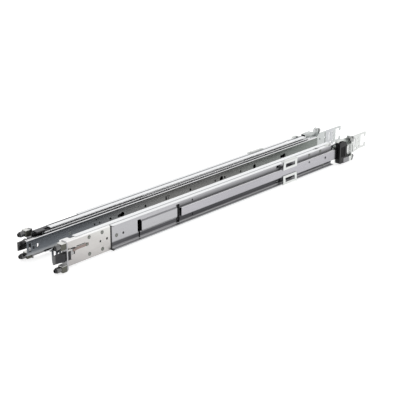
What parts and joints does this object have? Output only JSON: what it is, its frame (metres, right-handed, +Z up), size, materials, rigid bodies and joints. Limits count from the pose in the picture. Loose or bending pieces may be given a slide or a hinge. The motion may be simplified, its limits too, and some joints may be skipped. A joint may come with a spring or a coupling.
{
  "type": "sliding server rail pair",
  "caption": "Pair of ball bearing slide rails for a rack server, with toolless square hole brackets, sprung latches and an adjustable rear bracket.",
  "frame": {"origin": "under the middle of the pair, on the surface that the rails stand on", "axes": "+Y along the rails towards the rear, +Z up, +X towards the right rail seen from the front"},
  "size_m": [0.0824, 0.7262, 0.0428],
  "materials": {
    "zinc_plate": "bright zinc plated sheet steel, satin",
    "rail_steel": "zinc plated cold rolled steel, satin",
    "slide_steel": "zinc plated rolled steel with a thin film of grease",
    "block_steel": "olive passivated steel",
    "stud_steel": "turned zinc plated steel",
    "latch_steel": "hardened steel, dark zinc",
    "spring_steel": "tempered spring steel, slightly brown",
    "rivet_steel": "headed steel rivet",
    "cage_steel": "thin bright steel strip",
    "ball_steel": "polished bearing steel",
    "black_plastic": "fine grained black nylon"
  },
  "bodies": {
    "frame": {"right_front_bracket": "zinc_plate", "right_front_blocks": "block_steel", "right_front_studs": "stud_steel", "right_front_latch_pin": "stud_steel", "right_front_latch_spring": "spring_steel", "right_front_guide": "black_plastic", "right_bracket_rivets": "rivet_steel", "right_outer_member": "rail_steel", "right_guide_channel": "rail_steel", "right_guide_clips": "zinc_plate", "left_front_bracket": "zinc_plate", "left_front_blocks": "block_steel", "left_front_studs": "stud_steel", "left_front_latch_pin": "stud_steel", "left_front_latch_spring": "spring_steel", "left_front_guide": "black_plastic", "left_bracket_rivets": "rivet_steel", "left_outer_member": "rail_steel", "left_guide_channel": "rail_steel", "left_guide_clips": "zinc_plate"},
    "right_middle_slide": {"right_middle_member": "slide_steel"},
    "right_outer_cage": {"right_outer_ball_cage": "cage_steel", "right_outer_balls": "ball_steel"},
    "right_inner_slide": {"right_inner_member": "slide_steel", "right_slide_lock_rivet": "rivet_steel"},
    "right_inner_cage": {"right_inner_ball_cage": "cage_steel", "right_inner_balls": "ball_steel"},
    "right_slide_lock": {"right_slide_lock": "spring_steel"},
    "right_front_latch": {"right_front_latch": "latch_steel"},
    "right_rear_bracket": {"right_extension_bar": "rail_steel", "right_rear_bracket": "rail_steel", "right_rear_blocks": "block_steel", "right_rear_studs": "stud_steel", "right_rear_latch_pin": "stud_steel", "right_rear_latch_housing": "black_plastic", "right_rear_rivets": "rivet_steel", "right_cable_arm_plate": "zinc_plate"},
    "right_rear_latch": {"right_rear_latch": "latch_steel"},
    "left_middle_slide": {"left_middle_member": "slide_steel"},
    "left_outer_cage": {"left_outer_ball_cage": "cage_steel", "left_outer_balls": "ball_steel"},
    "left_inner_slide": {"left_inner_member": "slide_steel", "left_slide_lock_rivet": "rivet_steel"},
    "left_inner_cage": {"left_inner_ball_cage": "cage_steel", "left_inner_balls": "ball_steel"},
    "left_slide_lock": {"left_slide_lock": "spring_steel"},
    "left_front_latch": {"left_front_latch": "latch_steel"},
    "left_rear_bracket": {"left_extension_bar": "rail_steel", "left_rear_bracket": "rail_steel", "left_rear_blocks": "block_steel", "left_rear_studs": "stud_steel", "left_rear_latch_pin": "stud_steel", "left_rear_latch_housing": "black_plastic", "left_rear_rivets": "rivet_steel", "left_cable_arm_plate": "zinc_plate"},
    "left_rear_latch": {"left_rear_latch": "latch_steel"}
  },
  "joints": [
    {"name": "right_middle_slide", "type": "slide", "parent": "frame", "child": "right_middle_slide", "axis": [0, -1, 0], "range_m": [0, 0.33]},
    {"name": "right_inner_slide", "type": "slide", "parent": "right_middle_slide", "child": "right_inner_slide", "axis": [0, -1, 0], "range_m": [0, 0.34]},
    {"name": "right_outer_cage_roll", "type": "slide", "parent": "frame", "child": "right_outer_cage", "axis": [0, -1, 0], "range_m": [0, 0.165]},
    {"name": "right_inner_cage_roll", "type": "slide", "parent": "right_middle_slide", "child": "right_inner_cage", "axis": [0, -1, 0], "range_m": [0, 0.17]},
    {"name": "right_depth_slide", "type": "slide", "parent": "frame", "child": "right_rear_bracket", "axis": [0, 1, 0], "range_m": [0, 0.2]},
    {"name": "right_front_latch_swing", "type": "hinge", "parent": "frame", "child": "right_front_latch", "pos_m": [0.036, -0.33545, 0.02138], "axis": [0, 0, -1], "range_deg": [0, 9], "stiffness_Nm_per_rad": 0.25, "springref_deg": -6.88, "deforming": ["right_front_latch_spring"]},
    {"name": "right_rear_latch_swing", "type": "hinge", "parent": "right_rear_bracket", "child": "right_rear_latch", "pos_m": [0.036, 0.29555, 0.02138], "axis": [0, 0, 1], "range_deg": [0, 9], "stiffness_Nm_per_rad": 0.25, "springref_deg": -6.88},
    {"name": "right_slide_lock_swing", "type": "hinge", "parent": "right_inner_slide", "child": "right_slide_lock", "pos_m": [0.0232, -0.27595, 0.02138], "axis": [1, 0, 0], "range_deg": [0, 5], "stiffness_Nm_per_rad": 0.25, "springref_deg": -6.88},
    {"name": "left_middle_slide", "type": "slide", "parent": "frame", "child": "left_middle_slide", "axis": [0, -1, 0], "range_m": [0, 0.33]},
    {"name": "left_inner_slide", "type": "slide", "parent": "left_middle_slide", "child": "left_inner_slide", "axis": [0, -1, 0], "range_m": [0, 0.34]},
    {"name": "left_outer_cage_roll", "type": "slide", "parent": "frame", "child": "left_outer_cage", "axis": [0, -1, 0], "range_m": [0, 0.165]},
    {"name": "left_inner_cage_roll", "type": "slide", "parent": "left_middle_slide", "child": "left_inner_cage", "axis": [0, -1, 0], "range_m": [0, 0.17]},
    {"name": "left_depth_slide", "type": "slide", "parent": "frame", "child": "left_rear_bracket", "axis": [0, 1, 0], "range_m": [0, 0.2]},
    {"name": "left_front_latch_swing", "type": "hinge", "parent": "frame", "child": "left_front_latch", "pos_m": [-0.036, -0.33545, 0.02138], "axis": [0, 0, 1], "range_deg": [0, 9], "stiffness_Nm_per_rad": 0.25, "springref_deg": -6.88, "deforming": ["left_front_latch_spring"]},
    {"name": "left_rear_latch_swing", "type": "hinge", "parent": "left_rear_bracket", "child": "left_rear_latch", "pos_m": [-0.036, 0.29555, 0.02138], "axis": [0, 0, -1], "range_deg": [0, 9], "stiffness_Nm_per_rad": 0.25, "springref_deg": -6.88},
    {"name": "left_slide_lock_swing", "type": "hinge", "parent": "left_inner_slide", "child": "left_slide_lock", "pos_m": [-0.0232, -0.28295, 0.02138], "axis": [1, 0, 0], "range_deg": [0, 5], "stiffness_Nm_per_rad": 0.25, "springref_deg": -6.88}
  ],
  "couplings": [
    {"joint": "right_outer_cage_roll", "follows": "right_middle_slide", "ratio": 0.5},
    {"joint": "right_inner_cage_roll", "follows": "right_inner_slide", "ratio": 0.5},
    {"joint": "left_outer_cage_roll", "follows": "left_middle_slide", "ratio": 0.5},
    {"joint": "left_inner_cage_roll", "follows": "left_inner_slide", "ratio": 0.5}
  ]
}
